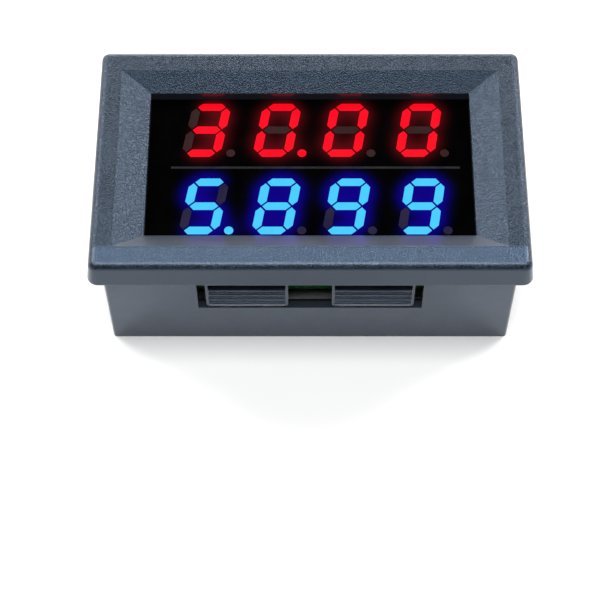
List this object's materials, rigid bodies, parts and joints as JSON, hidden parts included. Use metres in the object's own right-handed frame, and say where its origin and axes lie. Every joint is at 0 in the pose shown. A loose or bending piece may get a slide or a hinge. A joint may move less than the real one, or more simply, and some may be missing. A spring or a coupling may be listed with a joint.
{
  "type": "digital panel meter",
  "caption": "Snap-in digital volt and ammeter for a panel cutout: picture-frame bezel round stacked rows of slanted segment digits, spring tongues in the walls, a board with headers behind.",
  "frame": {"origin": "middle of the case's rear rim, on the surface that the meter lies on", "axes": "+Z out of the display, +Y to the top of the digits, +X to their right"},
  "size_m": [0.0486, 0.0296, 0.018],
  "materials": {
    "case_black": "moulded ABS, fine leather grain on the bezel, satin walls",
    "display_black": "satin black face",
    "lens_red_lit": "glowing red",
    "lens_blue_lit": "glowing blue",
    "lens_red_dark": "unlit diffusing lens",
    "lens_blue_dark": "unlit diffusing lens",
    "divider_grey": "dull grey strip",
    "display_base_green": "glass-fibre laminate",
    "led_die": "light-emitting die",
    "board_green": "solder-resist lacquer on glass-fibre laminate",
    "tinned_metal": "bright tin",
    "solder": "solder",
    "header_white": "natural white nylon",
    "shunt_copper": "drawn resistance wire",
    "chip_black": "moulded epoxy",
    "capacitor_tan": "fired ceramic",
    "resistor_black": "black overglaze",
    "trimmer_ceramic": "white alumina",
    "trimmer_metal": "plated rotor",
    "rivet_brass": "brass"
  },
  "bodies": {
    "meter": {"volts_digit_1_lit": "lens_red_lit", "volts_digit_1_off": "lens_red_dark", "volts_digit_2_lit": "lens_red_lit", "volts_digit_2_off": "lens_red_dark", "volts_digit_3_lit": "lens_red_lit", "volts_digit_3_off": "lens_red_dark", "volts_digit_4_lit": "lens_red_lit", "volts_digit_4_off": "lens_red_dark", "amps_digit_1_lit": "lens_blue_lit", "amps_digit_1_off": "lens_blue_dark", "amps_digit_2_lit": "lens_blue_lit", "amps_digit_2_off": "lens_blue_dark", "amps_digit_3_lit": "lens_blue_lit", "amps_digit_3_off": "lens_blue_dark", "amps_digit_4_lit": "lens_blue_lit", "amps_digit_4_off": "lens_blue_dark", "case": "case_black", "display_housing": "display_black", "display_base": "display_base_green", "led_dies": "led_die", "row_divider": "divider_grey", "display_pins": "tinned_metal", "display_solder": "solder", "circuit_board": "board_green", "supply_header": "header_white", "supply_pins": "tinned_metal", "current_header": "header_white", "current_pins": "tinned_metal", "header_solder": "solder", "shunt_link": "shunt_copper", "shunt_solder": "solder", "controller_body": "chip_black", "controller_leads": "tinned_metal", "amplifier_body": "chip_black", "amplifier_leads": "tinned_metal", "regulator_body": "chip_black", "regulator_leads": "tinned_metal", "diode_body": "chip_black", "diode_leads": "tinned_metal", "driver_bodies": "chip_black", "driver_leads": "tinned_metal", "capacitor_bodies": "capacitor_tan", "capacitor_ends": "tinned_metal", "resistor_bodies": "resistor_black", "resistor_ends": "tinned_metal", "trimmer_bases": "trimmer_ceramic", "trimmer_terminals": "tinned_metal", "trimmer_rivets": "rivet_brass", "edge_pad_solder": "solder"},
    "volts_rotor": {"volts_trimmer_rotor": "trimmer_metal"},
    "amps_rotor": {"amps_trimmer_rotor": "trimmer_metal"}
  },
  "joints": [
    {"name": "volts_trim", "type": "hinge", "parent": "meter", "child": "volts_rotor", "pos_m": [-0.009, 0.0044, 0.0061], "axis": [0, 0, -1], "range_deg": [-130, 130]},
    {"name": "amps_trim", "type": "hinge", "parent": "meter", "child": "amps_rotor", "pos_m": [0.0082, -0.0052, 0.0061], "axis": [0, 0, -1], "range_deg": [-130, 130]}
  ]
}
